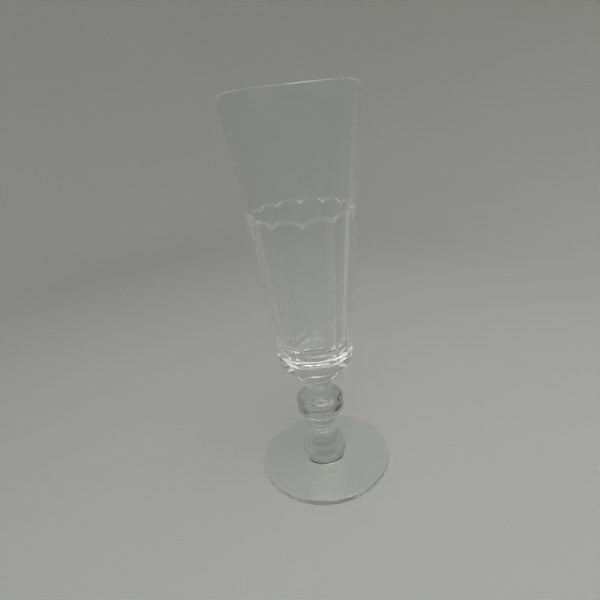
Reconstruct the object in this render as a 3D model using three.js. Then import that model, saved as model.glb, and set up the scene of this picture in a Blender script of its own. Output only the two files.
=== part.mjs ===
// Champagne flute in clear pressed glass, 180 mm tall.
//
// The glass is built up along one upright axis from seven sections of glass that are joined end to end:
// foot, baluster, lower neck, knop, upper neck, merese and bowl. Neighbouring sections meet face to face
// on a level plane, where the crease between them shows on the real glass.
// Units are millimetres, +Z is up, and the origin is the centre of the foot's flat underside.

import * as THREE from "three";

// Overall size.
const HEIGHT = 180;
const FOOT_RADIUS = 33.2;
const LIP_RADIUS = 27.7;

// Heights of the joints between the sections, from the table up.
const FOOT_TOP = 4.1;
const BALUSTER_TOP = 21.4;
const LOWER_NECK_TOP = 28.2;
const KNOP_TOP = 42;
const UPPER_NECK_TOP = 51.8;
const MERESE_TOP = 57.8;

// Radii of the stem.
const NECK_RADIUS = 6.2;
const NECK_END_RADIUS = 7;
const NECK_COVE = 1;
const FOOT_JOINT_RADIUS = 9.9;
const BALUSTER_RADIUS = 11.1;
const KNOP_RADIUS = 11.7;
const MERESE_RADIUS = 10.6;

// The foot: its rim, and the cove that rises to the baluster.
const FOOT_EDGE = 2.6;
const FOOT_EDGE_ROUNDING = 0.9;
const FOOT_EDGE_BEVEL = 0.4;
const COVE_FOOT_RADIUS = 12.6;
const COVE_FOOT_HEIGHT = 3.05;

// Heights along the baluster: its widest point, and the collar under the neck.
const BALUSTER_WIDEST = 7.8;
const COLLAR_LOW = 19.3;

// The upright side of the knop.
const KNOP_SIDE_LOW = 33.4;
const KNOP_SIDE_HIGH = 37.6;

// The ledge ring at the bottom of the bowl, which tapers downwards.
const LEDGE_RADIUS = 18;
const LEDGE_BASE_RADIUS = 17.3;
const LEDGE_LOW = 59.6;
const LEDGE_HIGH = 64.9;
const LEDGE_ROUNDING = 0.8;

// The twelve flat panels round the lower half of the bowl. A ridge between two panels faces -Y.
// Each panel stands a little proud of the plain cone above it and ends in an arch.
const PANELS = 12;
const PANEL_LOW = 66.4;
const RIDGE_RADIUS_LOW = 17.7;
const RIDGE_TOP = 130.6;
const RIDGE_RADIUS_TOP = 24.1;
const RIDGE_BULGE = 0.35;
const ARCH_TOP = 132.4;
const ARCH_RISE = 2.7;
const ARCH_STEP = 0.8;
const CONE_LOW = ARCH_TOP + ARCH_STEP;
const CONE_RADIUS = 23.1;

// The inside of the bowl and its lip.
const LIP_WALL = 1.6;
const INSIDE_TAPER = 0.118;
const INSIDE_FLOOR = 64.6;
const FLOOR_CURVE_START = 75;
const FLOOR_FLAT_RADIUS = 3;

// How finely the round surfaces are divided. Both counts are multiples of 12 and of 4, so that every
// ridge lies on a division and the widest points lie on the X and Y axes.
const BOWL_DIVISIONS = 72;
const STEM_DIVISIONS = 48;
const CURVE_STEPS = 4;

const HALF_PANEL = Math.PI / PANELS;

function clearGlass(tint) {
  return new THREE.MeshStandardMaterial({ color: tint, roughness: 0.05, metalness: 0 });
}

// Turns an outline of (radius, height) points round the Z axis.
function turned(outline, divisions) {
  const geometry = new THREE.LatheGeometry(outline.getPoints(CURVE_STEPS), divisions);
  return geometry.rotateX(Math.PI / 2);
}

function section(name, geometry, tint) {
  const mesh = new THREE.Mesh(geometry, clearGlass(tint));
  mesh.name = name;
  return mesh;
}

// A thin disc with a rounded upper edge. Its top rises a little towards a cove under the baluster.
function foot() {
  const outline = new THREE.Path();
  outline.moveTo(0, 0);
  outline.lineTo(FOOT_RADIUS - FOOT_EDGE_BEVEL, 0);
  outline.lineTo(FOOT_RADIUS, FOOT_EDGE_BEVEL);
  outline.lineTo(FOOT_RADIUS, FOOT_EDGE - FOOT_EDGE_ROUNDING);
  outline.quadraticCurveTo(FOOT_RADIUS, FOOT_EDGE, FOOT_RADIUS - FOOT_EDGE_ROUNDING, FOOT_EDGE);
  outline.lineTo(COVE_FOOT_RADIUS, COVE_FOOT_HEIGHT);
  outline.quadraticCurveTo(FOOT_JOINT_RADIUS + 0.6, COVE_FOOT_HEIGHT + 0.1, FOOT_JOINT_RADIUS, FOOT_TOP);
  outline.lineTo(0, FOOT_TOP);
  return turned(outline, BOWL_DIVISIONS);
}

// An inverted baluster: widest just above the foot, drawn in like a bell to a short collar.
function baluster() {
  const shoulderLow = { radius: 7.9, height: 16.6 };
  const outline = new THREE.Path();
  outline.moveTo(0, FOOT_TOP);
  outline.lineTo(FOOT_JOINT_RADIUS, FOOT_TOP);
  outline.quadraticCurveTo(BALUSTER_RADIUS, FOOT_TOP + 1.2, BALUSTER_RADIUS, BALUSTER_WIDEST);
  outline.bezierCurveTo(BALUSTER_RADIUS, 11.8, 8.7, 13.8, shoulderLow.radius, shoulderLow.height);
  outline.quadraticCurveTo(shoulderLow.radius - 0.5, COLLAR_LOW - 0.4, NECK_END_RADIUS, COLLAR_LOW);
  outline.lineTo(NECK_END_RADIUS, BALUSTER_TOP);
  outline.lineTo(0, BALUSTER_TOP);
  return turned(outline, STEM_DIVISIONS);
}

// A short, straight length of stem that flares through a small cove at each end.
function neck(bottom, top) {
  const outline = new THREE.Path();
  outline.moveTo(0, bottom);
  outline.lineTo(NECK_END_RADIUS, bottom);
  outline.quadraticCurveTo(NECK_RADIUS, bottom + 0.1, NECK_RADIUS, bottom + NECK_COVE);
  outline.lineTo(NECK_RADIUS, top - NECK_COVE);
  outline.quadraticCurveTo(NECK_RADIUS, top - 0.1, NECK_END_RADIUS, top);
  outline.lineTo(0, top);
  return turned(outline, STEM_DIVISIONS);
}

// A thick annular knop with an upright side between a sloping top and a sloping underside.
function knop() {
  const radius = KNOP_RADIUS;
  const outline = new THREE.Path();
  outline.moveTo(0, LOWER_NECK_TOP);
  outline.lineTo(NECK_END_RADIUS, LOWER_NECK_TOP);
  outline.bezierCurveTo(10.4, LOWER_NECK_TOP + 2.6, radius, KNOP_SIDE_LOW - 1.8, radius, KNOP_SIDE_LOW);
  outline.lineTo(radius, KNOP_SIDE_HIGH);
  outline.bezierCurveTo(radius, KNOP_SIDE_HIGH + 2.4, 9.2, KNOP_TOP - 1.4, NECK_END_RADIUS, KNOP_TOP);
  outline.lineTo(0, KNOP_TOP);
  return turned(outline, STEM_DIVISIONS);
}

// A thick button of glass between the stem and the bowl, with a rounded lower edge.
function merese() {
  const rounding = 1.5;
  const outline = new THREE.Path();
  outline.moveTo(0, UPPER_NECK_TOP);
  outline.lineTo(MERESE_RADIUS - rounding, UPPER_NECK_TOP);
  outline.quadraticCurveTo(MERESE_RADIUS, UPPER_NECK_TOP, MERESE_RADIUS, UPPER_NECK_TOP + rounding);
  outline.lineTo(MERESE_RADIUS, MERESE_TOP);
  outline.lineTo(0, MERESE_TOP);
  return turned(outline, STEM_DIVISIONS);
}

function insideRadius(height) {
  return LIP_RADIUS - LIP_WALL - INSIDE_TAPER * (HEIGHT - height);
}

// Distance from the axis to a ridge at a height. The ridges bow out a little halfway up.
function ridgeRadius(height) {
  const t = (height - PANEL_LOW) / (RIDGE_TOP - PANEL_LOW);
  return RIDGE_RADIUS_LOW + (RIDGE_RADIUS_TOP - RIDGE_RADIUS_LOW) * t + 4 * RIDGE_BULGE * t * (1 - t);
}

// Distance from the axis to the plain cone above the panels.
function coneRadius(height) {
  const rise = (height - CONE_LOW) / (HEIGHT - LIP_WALL / 2 - CONE_LOW);
  return CONE_RADIUS + (LIP_RADIUS - CONE_RADIUS) * rise;
}

// Flattens a turned bowl into twelve panels. The panels' tops are lowered towards the ridges, so that
// each ends in an arch with a cusp on every ridge, and the wall steps back to the cone above the arches.
function cutPanels(geometry) {
  const dipLow = 120;
  const points = geometry.attributes.position;
  for (let i = 0; i < points.count; i += 1) {
    const x = points.getX(i);
    const y = points.getY(i);
    const height = points.getZ(i);
    const radius = Math.hypot(x, y);
    const onPanels = height > PANEL_LOW - 0.01 && height < CONE_LOW + 0.01;
    const outside = radius > insideRadius(height) + LIP_WALL / 2;
    if (onPanels && outside) {
      const aroundPanel = THREE.MathUtils.euclideanModulo(Math.atan2(x, -y), 2 * HALF_PANEL) - HALF_PANEL;
      const dip = ARCH_RISE * (1 - Math.sqrt(Math.max(0, 1 - (aroundPanel / HALF_PANEL) ** 2)));
      const share = THREE.MathUtils.clamp((height - dipLow) / (ARCH_TOP - dipLow), 0, 1);
      const lowered = height - dip * share;
      const flat = ridgeRadius(lowered) * Math.cos(HALF_PANEL) / Math.cos(aroundPanel);
      const scale = (height > ARCH_TOP + 0.01 ? coneRadius(lowered) : flat) / radius;
      points.setXYZ(i, x * scale, y * scale, lowered);
    }
  }
  return geometry;
}

// The bowl: a solid base with a ledge ring, twelve panels, a plain flaring upper half and a rounded lip.
function bowl() {
  const lipLow = HEIGHT - LIP_WALL / 2;
  const middle = (PANEL_LOW + RIDGE_TOP) / 2;
  const middleControl = (RIDGE_RADIUS_LOW + RIDGE_RADIUS_TOP) / 2 + 2 * RIDGE_BULGE;
  const outline = new THREE.Path();
  outline.moveTo(0, MERESE_TOP);
  outline.lineTo(MERESE_RADIUS, MERESE_TOP);
  outline.lineTo(LEDGE_BASE_RADIUS - LEDGE_ROUNDING, LEDGE_LOW);
  outline.quadraticCurveTo(LEDGE_BASE_RADIUS, LEDGE_LOW, LEDGE_BASE_RADIUS, LEDGE_LOW + LEDGE_ROUNDING);
  outline.lineTo(LEDGE_RADIUS, LEDGE_HIGH);
  outline.lineTo(RIDGE_RADIUS_LOW, PANEL_LOW);
  outline.quadraticCurveTo(middleControl, middle, RIDGE_RADIUS_TOP, RIDGE_TOP);
  outline.lineTo(RIDGE_RADIUS_TOP, ARCH_TOP);
  outline.lineTo(CONE_RADIUS, CONE_LOW);
  outline.lineTo(LIP_RADIUS, lipLow);
  outline.quadraticCurveTo(LIP_RADIUS, HEIGHT, LIP_RADIUS - LIP_WALL / 2, HEIGHT);
  outline.quadraticCurveTo(LIP_RADIUS - LIP_WALL, HEIGHT, insideRadius(lipLow), lipLow);
  outline.lineTo(insideRadius(FLOOR_CURVE_START), FLOOR_CURVE_START);
  outline.quadraticCurveTo(insideRadius(INSIDE_FLOOR), INSIDE_FLOOR, FLOOR_FLAT_RADIUS, INSIDE_FLOOR);
  outline.lineTo(0, INSIDE_FLOOR);
  return cutPanels(turned(outline, BOWL_DIVISIONS));
}

const flute = new THREE.Group();
flute.add(section("foot", foot(), 0xdde3dc));
flute.add(section("baluster", baluster(), 0xd6ddd6));
flute.add(section("lower_neck", neck(BALUSTER_TOP, LOWER_NECK_TOP), 0xdde3dc));
flute.add(section("knop", knop(), 0xd6ddd6));
flute.add(section("upper_neck", neck(KNOP_TOP, UPPER_NECK_TOP), 0xdde3dc));
flute.add(section("merese", merese(), 0xd6ddd6));
flute.add(section("bowl", bowl(), 0xe2e8e2));

export default flute;
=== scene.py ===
"""Champagne flute in clear pressed glass, on a pale studio floor.

Each section of the glass is a fine mesh that stands for one node of the frame. Lengths in the shape
code are millimetres along the frame's axes; the meshes are scaled to metres as they are made.
"""
import math

import bpy
from mathutils import Matrix, Vector


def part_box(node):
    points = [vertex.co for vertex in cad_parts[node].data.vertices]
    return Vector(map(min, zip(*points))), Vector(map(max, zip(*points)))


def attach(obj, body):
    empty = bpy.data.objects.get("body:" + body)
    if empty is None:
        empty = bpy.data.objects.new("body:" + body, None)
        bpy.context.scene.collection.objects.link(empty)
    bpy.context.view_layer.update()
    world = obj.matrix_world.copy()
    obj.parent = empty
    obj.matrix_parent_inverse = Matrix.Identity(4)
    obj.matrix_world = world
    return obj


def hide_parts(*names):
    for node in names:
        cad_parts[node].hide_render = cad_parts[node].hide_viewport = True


MM = 0.001

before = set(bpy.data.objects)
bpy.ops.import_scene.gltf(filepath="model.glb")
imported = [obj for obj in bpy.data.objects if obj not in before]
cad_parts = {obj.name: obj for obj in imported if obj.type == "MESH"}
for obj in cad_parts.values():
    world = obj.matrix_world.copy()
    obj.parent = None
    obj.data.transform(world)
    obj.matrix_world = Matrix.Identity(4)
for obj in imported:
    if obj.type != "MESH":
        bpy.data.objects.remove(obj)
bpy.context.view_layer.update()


# ---------------------------------------------------------------- sizes from the frame

def section_box(node):
    """Lowest height, highest height and outer radius of a section, in millimetres."""
    low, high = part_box(node)
    return low.z / MM, high.z / MM, max(high.x, high.y) / MM


FOOT_LOW, FOOT_TOP, FOOT_RADIUS = section_box("foot")
_, BALUSTER_TOP, BALUSTER_RADIUS = section_box("baluster")
_, LOWER_NECK_TOP, NECK_END_RADIUS = section_box("lower_neck")
_, KNOP_TOP, KNOP_RADIUS = section_box("knop")
_, UPPER_NECK_TOP, _ = section_box("upper_neck")
_, MERESE_TOP, MERESE_RADIUS = section_box("merese")
_, HEIGHT, LIP_RADIUS = section_box("bowl")

# Foot: its rim, and the cove that rises to the baluster.
FOOT_EDGE = 2.6
FOOT_EDGE_ROUNDING = 0.9
FOOT_EDGE_BEVEL = 0.4
FOOT_JOINT_RADIUS = 9.9
COVE_FOOT_RADIUS = 12.6
COVE_FOOT_HEIGHT = 3.05
COVE_TURN_RADIUS = 10.5
COVE_TURN_HEIGHT = 3.15

# Stem.
NECK_RADIUS = 6.2
NECK_COVE = 1.0
NECK_COVE_TURN = 0.1
NECK_EDGE_ROUNDING = 0.25
BALUSTER_WIDEST = 7.8
BALUSTER_SHOULDER = 16.6
BALUSTER_SHOULDER_RADIUS = 7.9
COLLAR_LOW = 19.3
COLLAR_EDGE = 0.3
KNOP_SIDE_LOW = 33.4
KNOP_SIDE_HIGH = 37.6
MERESE_ROUNDING = 1.5

# Ledge ring at the bottom of the bowl, which tapers downwards.
LEDGE_RADIUS = 18.0
LEDGE_BASE_RADIUS = 17.3
LEDGE_LOW = 59.6
LEDGE_HIGH = 64.9
LEDGE_ROUNDING = 0.8
LEDGE_BEVEL = 0.6
LEDGE_BEVEL_TOP = LEDGE_HIGH + 0.2
LEDGE_BEVEL_SLOPE = 1.4
LEDGE_BLEND = 0.3

# Twelve flat panels with arched tops, which stand a little proud of the cone above. A ridge faces -Y.
# The rows of the mesh sink towards each ridge between DIP_LOW and DIP_HIGH, by ARCH_RISE at most.
PANELS = 12
PANEL_LOW = 66.4
RIDGE_RADIUS_LOW = 17.7
RIDGE_TOP = 130.6
RIDGE_RADIUS_TOP = 24.1
RIDGE_BULGE = 0.35
RIDGE_ROUNDING = 0.7
ARCH_TOP = 131.7
ARCH_RISE = 2.7
ARCH_STEP = 2.2
DIP_LOW = 120
DIP_HIGH = 142
CONE_LOW = ARCH_TOP + ARCH_STEP
CONE_RADIUS = 23.1

# Inside of the bowl and its lip.
LIP_WALL = 1.6
INSIDE_TAPER = 0.118
INSIDE_FLOOR = 64.6
FLOOR_CURVE_START = 75.0
FLOOR_FLAT_RADIUS = 3.0

# How far out two neighbouring sections touch, at the height of each joint.
NECK_CONTACT = NECK_END_RADIUS - NECK_EDGE_ROUNDING
CONTACT_RADIUS = {
    FOOT_TOP: FOOT_JOINT_RADIUS,
    BALUSTER_TOP: NECK_CONTACT,
    LOWER_NECK_TOP: NECK_CONTACT,
    KNOP_TOP: NECK_CONTACT,
    UPPER_NECK_TOP: NECK_CONTACT,
    MERESE_TOP: MERESE_RADIUS,
}

STEM_DIVISIONS = 192
CREASE_ANGLE = math.radians(24)
NEARLY_LEVEL = 0.999
SAME_HEIGHT = 0.01

# Light guided round inside the rim and the foot turns back many times before it comes out.
GUIDED_BOUNCES = 64
JOINT_CROSSINGS = 48


# ---------------------------------------------------------------- outlines

class Outline:
    """A chain of (radius, height) points from the axis, up the outside, and back to the axis."""

    def __init__(self, radius, height):
        self.points = [(radius, height)]

    def line(self, radius, height, steps=1):
        r0, z0 = self.points[-1]
        for i in range(1, steps + 1):
            t = i / steps
            self.points.append((r0 + (radius - r0) * t, z0 + (height - z0) * t))

    def rows(self, radius_at, bottom, top, steps):
        """Evenly spaced heights above bottom, up to top."""
        for i in range(1, steps + 1):
            height = bottom + (top - bottom) * i / steps
            self.points.append((radius_at(height), height))

    def curve(self, control, end, steps=12):
        r0, z0 = self.points[-1]
        for i in range(1, steps + 1):
            t = i / steps
            a, b, c = (1 - t) ** 2, 2 * t * (1 - t), t * t
            self.points.append((a * r0 + b * control[0] + c * end[0], a * z0 + b * control[1] + c * end[1]))

    def bezier(self, first, second, end, steps):
        r0, z0 = self.points[-1]
        for i in range(1, steps + 1):
            t = i / steps
            a, b, c, d = (1 - t) ** 3, 3 * t * (1 - t) ** 2, 3 * t * t * (1 - t), t ** 3
            self.points.append((
                a * r0 + b * first[0] + c * second[0] + d * end[0],
                a * z0 + b * first[1] + c * second[1] + d * end[1],
            ))


def foot_outline():
    o = Outline(0, FOOT_LOW)
    o.line(FOOT_RADIUS - FOOT_EDGE_BEVEL, FOOT_LOW)
    o.curve((FOOT_RADIUS, FOOT_LOW), (FOOT_RADIUS, FOOT_LOW + FOOT_EDGE_BEVEL), steps=6)
    o.line(FOOT_RADIUS, FOOT_EDGE - FOOT_EDGE_ROUNDING)
    o.curve((FOOT_RADIUS, FOOT_EDGE), (FOOT_RADIUS - FOOT_EDGE_ROUNDING, FOOT_EDGE))
    o.line(COVE_FOOT_RADIUS, COVE_FOOT_HEIGHT, steps=8)
    o.curve((COVE_TURN_RADIUS, COVE_TURN_HEIGHT), (FOOT_JOINT_RADIUS, FOOT_TOP), steps=16)
    o.line(0, FOOT_TOP)
    return o


def baluster_outline():
    """A bell: round at the bottom, drawn in at the shoulder, with a short collar on top."""
    belly = (BALUSTER_RADIUS, FOOT_TOP + 1.2)
    bell = (BALUSTER_RADIUS, BALUSTER_WIDEST + 4)
    waist = (BALUSTER_SHOULDER_RADIUS + 0.8, BALUSTER_SHOULDER - 2.8)
    hollow = (BALUSTER_SHOULDER_RADIUS - 0.5, COLLAR_LOW - 0.4)
    o = Outline(0, FOOT_TOP)
    o.line(FOOT_JOINT_RADIUS, FOOT_TOP)
    o.curve(belly, (BALUSTER_RADIUS, BALUSTER_WIDEST), steps=16)
    o.bezier(bell, waist, (BALUSTER_SHOULDER_RADIUS, BALUSTER_SHOULDER), steps=28)
    o.curve(hollow, (NECK_END_RADIUS, COLLAR_LOW), steps=14)
    o.line(NECK_END_RADIUS, BALUSTER_TOP - COLLAR_EDGE, steps=3)
    o.curve((NECK_END_RADIUS, BALUSTER_TOP), (NECK_CONTACT, BALUSTER_TOP), steps=5)
    o.line(0, BALUSTER_TOP)
    return o


def neck_outline(bottom, top):
    """A plain length of stem that flares into a cove at each end."""
    o = Outline(0, bottom)
    o.line(NECK_CONTACT, bottom)
    o.curve((NECK_RADIUS, bottom + NECK_COVE_TURN), (NECK_RADIUS, bottom + NECK_COVE))
    o.line(NECK_RADIUS, top - NECK_COVE, steps=4)
    o.curve((NECK_RADIUS, top - NECK_COVE_TURN), (NECK_CONTACT, top))
    o.line(0, top)
    return o


def knop_outline():
    """A thick ring with an upright side, fuller below than above."""
    underside = (KNOP_RADIUS - 1.3, LOWER_NECK_TOP + 2.6)
    side_start = (KNOP_RADIUS, KNOP_SIDE_LOW - 1.8)
    side_end = (KNOP_RADIUS, KNOP_SIDE_HIGH + 2.4)
    top_face = (KNOP_RADIUS - 2.5, KNOP_TOP - 1.4)
    o = Outline(0, LOWER_NECK_TOP)
    o.line(NECK_CONTACT, LOWER_NECK_TOP)
    o.bezier(underside, side_start, (KNOP_RADIUS, KNOP_SIDE_LOW), steps=24)
    o.line(KNOP_RADIUS, KNOP_SIDE_HIGH, steps=4)
    o.bezier(side_end, top_face, (NECK_CONTACT, KNOP_TOP), steps=24)
    o.line(0, KNOP_TOP)
    return o


def merese_outline():
    o = Outline(0, UPPER_NECK_TOP)
    o.line(NECK_CONTACT, UPPER_NECK_TOP)
    o.line(MERESE_RADIUS - MERESE_ROUNDING, UPPER_NECK_TOP, steps=3)
    o.curve((MERESE_RADIUS, UPPER_NECK_TOP), (MERESE_RADIUS, UPPER_NECK_TOP + MERESE_ROUNDING), steps=14)
    o.line(MERESE_RADIUS, MERESE_TOP, steps=3)
    o.line(0, MERESE_TOP)
    return o


def inside_radius(height):
    return LIP_RADIUS - LIP_WALL - INSIDE_TAPER * (HEIGHT - height)


def ridge_radius(height):
    """The ridges between the panels bow out a little halfway up."""
    t = (height - PANEL_LOW) / (RIDGE_TOP - PANEL_LOW)
    return RIDGE_RADIUS_LOW + (RIDGE_RADIUS_TOP - RIDGE_RADIUS_LOW) * t + 4 * RIDGE_BULGE * t * (1 - t)


def cone_radius(height):
    """The plain outside above the panels."""
    t = (height - CONE_LOW) / (HEIGHT - LIP_WALL / 2 - CONE_LOW)
    return CONE_RADIUS + (LIP_RADIUS - CONE_RADIUS) * t


def ring_radius(height):
    """The side of the ledge ring."""
    t = (height - LEDGE_LOW) / (LEDGE_HIGH - LEDGE_LOW)
    return LEDGE_BASE_RADIUS + (LEDGE_RADIUS - LEDGE_BASE_RADIUS) * t


def bowl_outline():
    """The bowl before its panels are flattened. Rows are closest where the panels start and end."""
    lip_low = HEIGHT - LIP_WALL / 2
    ring_side_top = LEDGE_HIGH - LEDGE_BEVEL
    panels_clear = PANEL_LOW + 0.8
    arch_low = ARCH_TOP - 5
    arch_clear = CONE_LOW + 5
    o = Outline(0, MERESE_TOP)
    o.line(MERESE_RADIUS, MERESE_TOP)
    o.line(LEDGE_BASE_RADIUS - LEDGE_ROUNDING, LEDGE_LOW, steps=4)
    o.curve((LEDGE_BASE_RADIUS, LEDGE_LOW), (LEDGE_BASE_RADIUS, LEDGE_LOW + LEDGE_ROUNDING), steps=8)
    o.line(ring_radius(ring_side_top), ring_side_top, steps=3)
    o.rows(ridge_radius, ring_side_top, panels_clear, steps=30)
    o.rows(ridge_radius, panels_clear, arch_low, steps=24)
    o.rows(ridge_radius, arch_low, ARCH_TOP, steps=10)
    o.rows(ridge_radius, ARCH_TOP, CONE_LOW, steps=14)
    o.rows(cone_radius, CONE_LOW, arch_clear, steps=6)
    o.rows(cone_radius, arch_clear, lip_low, steps=14)
    o.curve((LIP_RADIUS, HEIGHT), (LIP_RADIUS - LIP_WALL / 2, HEIGHT), steps=8)
    o.curve((LIP_RADIUS - LIP_WALL, HEIGHT), (inside_radius(lip_low), lip_low), steps=8)
    o.line(inside_radius(FLOOR_CURVE_START), FLOOR_CURVE_START, steps=24)
    o.curve((inside_radius(INSIDE_FLOOR), INSIDE_FLOOR), (FLOOR_FLAT_RADIUS, INSIDE_FLOOR), steps=16)
    o.line(0, INSIDE_FLOOR)
    return o


# ---------------------------------------------------------------- panels

def smooth_min(a, b, blend):
    """The smaller of two values, with the corner between them rounded over the width of blend."""
    h = max(blend - abs(a - b), 0) / blend
    return min(a, b) - h * h * blend / 4


def smooth_max(a, b, blend):
    """The larger of two values, rounded in the same way."""
    return -smooth_min(-a, -b, blend)


def panelled_section(height, from_ridge):
    """Radius of the twelve-sided section at an angle from the nearest ridge, its corners rounded."""
    half = math.pi / PANELS
    flat_distance = ridge_radius(height) * math.cos(half)
    corner = (flat_distance - RIDGE_ROUNDING) / math.cos(half)
    tangent = math.atan2(RIDGE_ROUNDING * math.sin(half), corner + RIDGE_ROUNDING * math.cos(half))
    if from_ridge < tangent:
        return corner * math.cos(from_ridge) + math.sqrt(
            RIDGE_ROUNDING ** 2 - (corner * math.sin(from_ridge)) ** 2)
    return flat_distance / math.cos(half - from_ridge)


def ledge_ring(height):
    """Radius of the ledge ring, with a bevelled top edge that catches the light."""
    if height <= LEDGE_BEVEL_TOP - LEDGE_BEVEL:
        return ring_radius(height)
    bevelled = LEDGE_RADIUS - (height - LEDGE_BEVEL_TOP) * LEDGE_BEVEL_SLOPE
    return smooth_min(ring_radius(height), bevelled, LEDGE_BEVEL)


def bowl_point(radius, height, angle):
    """Turns a point of the plain bowl into one of the panelled bowl, as a radius and a height."""
    if radius < inside_radius(height) + LIP_WALL / 2 or height < LEDGE_LOW + LEDGE_ROUNDING:
        return radius, height
    if height > DIP_HIGH:
        return radius, height
    half = math.pi / PANELS
    from_ridge = abs((angle + half) % (2 * half) - half)
    across = 1 - from_ridge / half
    dip = ARCH_RISE * (1 - math.sqrt(max(0, 1 - across * across)))
    if height > CONE_LOW:
        lowered = height - dip * (DIP_HIGH - height) / (DIP_HIGH - CONE_LOW)
        return cone_radius(lowered), lowered
    lowered = height - dip * min(1, max(0, (height - DIP_LOW) / (ARCH_TOP - DIP_LOW)))
    flat = panelled_section(lowered, from_ridge)
    if height > ARCH_TOP:
        # The panel's edge rolls over and runs out softly on the cone.
        over = (height - ARCH_TOP) / ARCH_STEP
        cone = cone_radius(lowered)
        return cone + (flat - cone) * (1 - over * over * (3 - 2 * over)), lowered
    return smooth_max(ledge_ring(height), flat, LEDGE_BLEND), lowered


def panel_angles():
    """Angles round the bowl, closest together at the ridges, where the radius changes fastest."""
    width = 360 / PANELS
    from_ridge = [0.0, 0.2, 0.4, 0.57, 0.8, 1.6, 3.6, 6.0, 8.5, 11.5]
    to_next_ridge = [width - degrees for degrees in reversed(from_ridge[1:])]
    offsets = from_ridge + [width / 2] + to_next_ridge
    return [math.radians(width * panel + degrees) for panel in range(PANELS) for degrees in offsets]


# ---------------------------------------------------------------- meshes

def is_fused(polygon):
    """True for a level face inside the circle where two sections touch."""
    level = polygon.center.z / MM
    from_axis = polygon.center.xy.length / MM
    return abs(polygon.normal.z) > NEARLY_LEVEL and any(
        abs(level - height) < SAME_HEIGHT and from_axis < contact
        for height, contact in CONTACT_RADIUS.items())


def make_mesh(name, outline, angles, shape):
    """Turns an outline round the Z axis, with angle 0 at -Y.

    shape, if given, moves each point. Faces fused to a neighbour get material slot 1.
    """
    inner = outline.points[1:-1]
    count = len(angles)
    verts = []
    for radius, height in inner:
        for angle in angles:
            r, z = shape(radius, height, angle) if shape else (radius, height)
            verts.append((r * math.sin(angle) * MM, -r * math.cos(angle) * MM, z * MM))
    first_pole = len(verts)
    verts.append((0, 0, outline.points[0][1] * MM))
    verts.append((0, 0, outline.points[-1][1] * MM))
    faces = []
    for row in range(len(inner) - 1):
        for i in range(count):
            j = (i + 1) % count
            a, b = row * count + i, row * count + j
            faces.append((a, b, b + count, a + count))
    last = (len(inner) - 1) * count
    for i in range(count):
        j = (i + 1) % count
        faces.append((first_pole, j, i))
        faces.append((first_pole + 1, last + i, last + j))
    mesh = bpy.data.meshes.new(name)
    mesh.from_pydata(verts, [], faces)
    mesh.validate()
    mesh.shade_smooth()
    mesh.set_sharp_from_angle(angle=CREASE_ANGLE)
    for polygon in mesh.polygons:
        if is_fused(polygon):
            polygon.material_index = 1
    return mesh


def even_angles(divisions):
    return [2 * math.pi * i / divisions for i in range(divisions)]


def add_section(node, outline, glass, angles=None, shape=None):
    """Adds the fine mesh that stands for one node of the frame."""
    mesh = make_mesh(node + "_glass", outline, angles or even_angles(STEM_DIVISIONS), shape)
    mesh.materials.append(glass)
    mesh.materials.append(joint)
    piece = bpy.data.objects.new(node + "_glass", mesh)
    bpy.context.scene.collection.objects.link(piece)
    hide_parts(node)
    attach(piece, "root")
    return piece


# ---------------------------------------------------------------- materials

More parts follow.
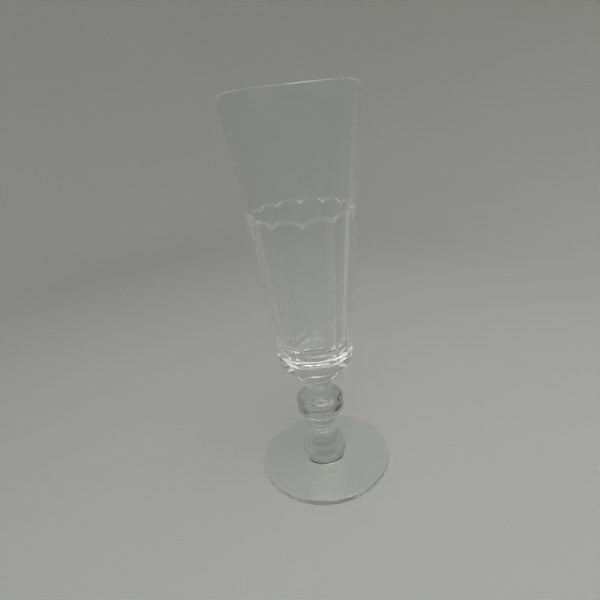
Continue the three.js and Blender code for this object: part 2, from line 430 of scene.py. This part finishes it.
def glass_material(name, tint_and_painted_shade, waviness, smear, shade, worn=None):
    """Clear pressed glass: faint waviness from the mould and a trace of handling on the surface.

    shade is the share of the light that gets through a steep wall on its way to the floor.
    worn gives the heights between which an edge turns dull from rubbing, in millimetres.
    """
    glass_ior = 1.52
    worn_roughness = 0.22
    worn_fade_start, worn_fade_end = 0.2, 1.2
    material = bpy.data.materials.new(name)
    material.use_nodes = True
    nodes, links = material.node_tree.nodes, material.node_tree.links
    shader = nodes["Principled BSDF"]
    # Base colour: the glass's own faint tint, and for the stem and bowl also painted shade that darkens
    # them.
    shader.inputs["Base Color"].default_value = (*tint_and_painted_shade, 1)
    shader.inputs["Transmission Weight"].default_value = 1
    shader.inputs["IOR"].default_value = glass_ior

    place = nodes.new("ShaderNodeTexCoord")
    haze = nodes.new("ShaderNodeTexNoise")
    haze.inputs["Scale"].default_value = 90
    haze.inputs["Detail"].default_value = 6
    links.new(place.outputs["Object"], haze.inputs["Vector"])
    spread = nodes.new("ShaderNodeMapRange")
    spread.inputs["From Min"].default_value = 0.45
    spread.inputs["From Max"].default_value = 0.8
    spread.inputs["To Min"].default_value = 0
    spread.inputs["To Max"].default_value = smear
    links.new(haze.outputs["Fac"], spread.inputs["Value"])
    links.new(spread.outputs["Result"], shader.inputs["Roughness"])
    if worn:
        split = nodes.new("ShaderNodeSeparateXYZ")
        links.new(place.outputs["Object"], split.inputs["Vector"])
        edge = nodes.new("ShaderNodeMapRange")
        edge.interpolation_type = "SMOOTHSTEP"
        edge.inputs["From Min"].default_value = worn[0] * MM
        edge.inputs["From Max"].default_value = worn[1] * MM
        edge.inputs["To Min"].default_value = 0
        edge.inputs["To Max"].default_value = 1
        links.new(split.outputs["Z"], edge.inputs["Value"])
        end = nodes.new("ShaderNodeMapRange")
        end.interpolation_type = "SMOOTHSTEP"
        end.inputs["From Min"].default_value = (worn[1] + worn_fade_end) * MM
        end.inputs["From Max"].default_value = (worn[1] + worn_fade_start) * MM
        end.inputs["To Min"].default_value = 0
        end.inputs["To Max"].default_value = worn_roughness
        links.new(split.outputs["Z"], end.inputs["Value"])
        dull = nodes.new("ShaderNodeMath")
        dull.operation = "MULTIPLY"
        links.new(edge.outputs["Result"], dull.inputs[0])
        links.new(end.outputs["Result"], dull.inputs[1])
        both = nodes.new("ShaderNodeMath")
        links.new(dull.outputs["Value"], both.inputs[0])
        links.new(spread.outputs["Result"], both.inputs[1])
        links.new(both.outputs["Value"], shader.inputs["Roughness"])

    wave = nodes.new("ShaderNodeTexNoise")
    wave.inputs["Scale"].default_value = 130
    wave.inputs["Detail"].default_value = 1
    links.new(place.outputs["Object"], wave.inputs["Vector"])
    bump = nodes.new("ShaderNodeBump")
    bump.inputs["Strength"].default_value = 1
    bump.inputs["Distance"].default_value = waviness * MM
    links.new(wave.outputs["Fac"], bump.inputs["Height"])
    links.new(bump.outputs["Normal"], shader.inputs["Normal"])

    # Light that reaches or leaves the floor goes straight through. Steep walls take a little of it.
    facing = nodes.new("ShaderNodeLayerWeight")
    facing.inputs["Blend"].default_value = 0.25
    loss = nodes.new("ShaderNodeValToRGB")
    loss.color_ramp.elements[0].color = (0.99, 0.995, 0.99, 1)
    loss.color_ramp.elements[1].color = (shade, shade, shade, 1)
    links.new(facing.outputs["Facing"], loss.inputs["Fac"])
    through = nodes.new("ShaderNodeBsdfTransparent")
    links.new(loss.outputs["Color"], through.inputs["Color"])
    path = nodes.new("ShaderNodeLightPath")
    lighting = nodes.new("ShaderNodeMath")
    links.new(path.outputs["Is Shadow Ray"], lighting.inputs[0])
    links.new(path.outputs["Is Diffuse Ray"], lighting.inputs[1])
    lit = nodes.new("ShaderNodeMixShader")
    links.new(lighting.outputs["Value"], lit.inputs["Fac"])
    links.new(shader.outputs["BSDF"], lit.inputs[1])
    links.new(through.outputs["BSDF"], lit.inputs[2])
    links.new(lit.outputs["Shader"], nodes["Material Output"].inputs["Surface"])
    return material


def joint_material():
    """Where two sections are fused there is no surface, so light goes straight through."""
    material = bpy.data.materials.new("fused_joint")
    material.use_nodes = True
    nodes, links = material.node_tree.nodes, material.node_tree.links
    nodes.remove(nodes["Principled BSDF"])
    clear = nodes.new("ShaderNodeBsdfTransparent")
    links.new(clear.outputs["BSDF"], nodes["Material Output"].inputs["Surface"])
    return material


def floor_material():
    """Matt pale card with a very faint mottle, and painted shade high up on its wall."""
    material = bpy.data.materials.new("pale_card")
    material.use_nodes = True
    nodes, links = material.node_tree.nodes, material.node_tree.links
    shader = nodes["Principled BSDF"]
    shader.inputs["Roughness"].default_value = 0.85
    shader.inputs["Specular IOR Level"].default_value = 0.2
    place = nodes.new("ShaderNodeTexCoord")
    mottle = nodes.new("ShaderNodeTexNoise")
    mottle.inputs["Scale"].default_value = 6
    links.new(place.outputs["Object"], mottle.inputs["Vector"])
    colours = nodes.new("ShaderNodeValToRGB")
    colours.color_ramp.elements[0].position = 0.3
    colours.color_ramp.elements[0].color = (0.488, 0.495, 0.468, 1)
    colours.color_ramp.elements[1].position = 0.7
    colours.color_ramp.elements[1].color = (0.498, 0.505, 0.478, 1)
    links.new(mottle.outputs["Fac"], colours.inputs["Fac"])

    # Painted shade: the card's colour darkens high up, to look like a wall that the light hardly reaches.
    split = nodes.new("ShaderNodeSeparateXYZ")
    links.new(place.outputs["Object"], split.inputs["Vector"])
    height = nodes.new("ShaderNodeMapRange")
    height.inputs["From Min"].default_value = 0.38
    height.inputs["From Max"].default_value = 0.75
    links.new(split.outputs["Z"], height.inputs["Value"])
    shade = nodes.new("ShaderNodeMix")
    shade.data_type = "RGBA"
    shade.inputs["B"].default_value = (0.1, 0.1, 0.1, 1)
    links.new(height.outputs["Result"], shade.inputs["Factor"])
    links.new(colours.outputs["Color"], shade.inputs["A"])
    links.new(shade.outputs["Result"], shader.inputs["Base Color"])
    return material


# ---------------------------------------------------------------- studio

def add_studio():
    """A round floor that curves up into a low wall on every side."""
    floor_radius = 343
    curve_radius = 307
    wall_top = 900
    gap = 0.15
    centre = Vector((-55, 79, 0)) * MM
    divisions = 96
    curve_steps = 12
    profile = [(0, -gap), (floor_radius / 2, -gap), (floor_radius, -gap)]
    for i in range(1, curve_steps + 1):
        a = math.pi / 2 * i / curve_steps
        profile.append((floor_radius + curve_radius * math.sin(a), curve_radius * (1 - math.cos(a)) - gap))
    profile.append((floor_radius + curve_radius, wall_top))
    verts = [(0, 0, -gap * MM)]
    for radius, height in profile[1:]:
        for i in range(divisions):
            a = 2 * math.pi * i / divisions
            verts.append((radius * math.cos(a) * MM, radius * math.sin(a) * MM, height * MM))
    faces = [(0, 1 + i, 1 + (i + 1) % divisions) for i in range(divisions)]
    for row in range(len(profile) - 2):
        for i in range(divisions):
            j = (i + 1) % divisions
            a, b = 1 + row * divisions + i, 1 + row * divisions + j
            faces.append((a, a + divisions, b + divisions, b))
    mesh = bpy.data.meshes.new("studio_floor")
    mesh.from_pydata(verts, [], faces)
    mesh.shade_smooth()
    mesh.materials.append(floor_material())
    floor = bpy.data.objects.new("studio_floor", mesh)
    floor.location = centre
    bpy.context.scene.collection.objects.link(floor)


def add_softbox(name, location, target, size, spread, power, through_glass=False):
    """A rectangular lamp, its first side level, that the camera never sees directly.

    It shows in reflections, and where through_glass is set also in what is seen through the glass. Places
    and sizes are in metres, spread is in degrees and power in watts.
    """
    light = bpy.data.lights.new(name, "AREA")
    light.shape = "RECTANGLE"
    light.size, light.size_y = size
    light.spread = math.radians(spread)
    light.energy = power
    lamp = bpy.data.objects.new(name, light)
    lamp.visible_camera = False
    lamp.visible_transmission = through_glass
    lamp.location = location
    lamp.rotation_euler = (Vector(target) - Vector(location)).to_track_quat("-Z", "Y").to_euler()
    bpy.context.scene.collection.objects.link(lamp)


def add_lights():
    """Dim air that shows in the glass but doesn't light the floor, two lamps overhead, two weak fills."""
    half_circle = 180
    floor_spot = (-0.102, -0.164, 0)
    bowl_middle = (0, 0, 0.15)
    world = bpy.data.worlds.new("studio_air")
    world.use_nodes = True
    world.node_tree.nodes["Background"].inputs["Color"].default_value = (0.97, 1, 0.97, 1)
    world.node_tree.nodes["Background"].inputs["Strength"].default_value = 0.28
    bpy.context.scene.world = world
    world.cycles_visibility.diffuse = False
    add_softbox("overhead", (0.16, -0.332, 0.918), floor_spot, (1.3, 0.7), 145, 4.2)
    add_softbox("overhead_core", (0.15, -0.33, 0.88), floor_spot, (0.7, 0.3), half_circle, 2.8,
                through_glass=True)
    add_softbox("right_fill", (0.407, -0.254, 0.4), bowl_middle, (0.75, 0.26), half_circle, 0.15)
    add_softbox("left_fill", (-0.475, -0.067, 0.4), bowl_middle, (0.7, 0.26), half_circle, 0.13)


def add_camera():
    """Just under rim height, close in, tipped down and rolled so that the glass leans left."""
    distance = 192.4
    height = 172.3
    down = math.radians(22.81)
    turn = math.radians(-1.34)
    roll = math.radians(-6.4)
    sensor = 36
    focal_in_frames = 0.76
    nearest = 0.01
    look = Vector((math.sin(turn) * math.cos(down), math.cos(turn) * math.cos(down), -math.sin(down)))
    right = Vector((math.cos(turn), -math.sin(turn), 0))
    up = right.cross(look)
    rolled_right = math.cos(roll) * right + math.sin(roll) * up
    rolled_up = -math.sin(roll) * right + math.cos(roll) * up
    camera = bpy.data.objects.new("camera", bpy.data.cameras.new("camera"))
    camera.data.sensor_width = sensor
    camera.data.lens = focal_in_frames * sensor
    camera.data.clip_start = nearest
    axes = Matrix((rolled_right, rolled_up, -look)).transposed()
    camera.matrix_world = Matrix.Translation(Vector((0, -distance, height)) * MM) @ axes.to_4x4()
    bpy.context.scene.collection.objects.link(camera)
    bpy.context.scene.camera = camera


# ---------------------------------------------------------------- the scene

add_camera()
add_studio()
add_lights()

joint = joint_material()

# The real glass is one clear body. The stem and bowl tints are painted shade: they differ only so that each
# section looks as dark as it should.
foot_glass = glass_material("foot_glass", (0.992, 0.995, 0.992), 0.004, 0.02, 0.93)
stem_glass = glass_material("stem_glass", (0.79, 0.8, 0.79), 0.004, 0.01, 0.85)
bowl_glass = glass_material("bowl_glass", (0.95, 0.955, 0.95), 0.003, 0.02, 0.75, (63, 65))

add_section("foot", foot_outline(), foot_glass)
add_section("baluster", baluster_outline(), stem_glass)
add_section("lower_neck", neck_outline(BALUSTER_TOP, LOWER_NECK_TOP), stem_glass)
add_section("knop", knop_outline(), stem_glass)
add_section("upper_neck", neck_outline(KNOP_TOP, UPPER_NECK_TOP), stem_glass)
add_section("merese", merese_outline(), stem_glass)
add_section("bowl", bowl_outline(), bowl_glass, panel_angles(), bowl_point)

scene = bpy.context.scene
scene.view_settings.view_transform = "Standard"
scene.cycles.max_bounces = GUIDED_BOUNCES
scene.cycles.transmission_bounces = GUIDED_BOUNCES
scene.cycles.glossy_bounces = GUIDED_BOUNCES
scene.cycles.transparent_max_bounces = JOINT_CROSSINGS
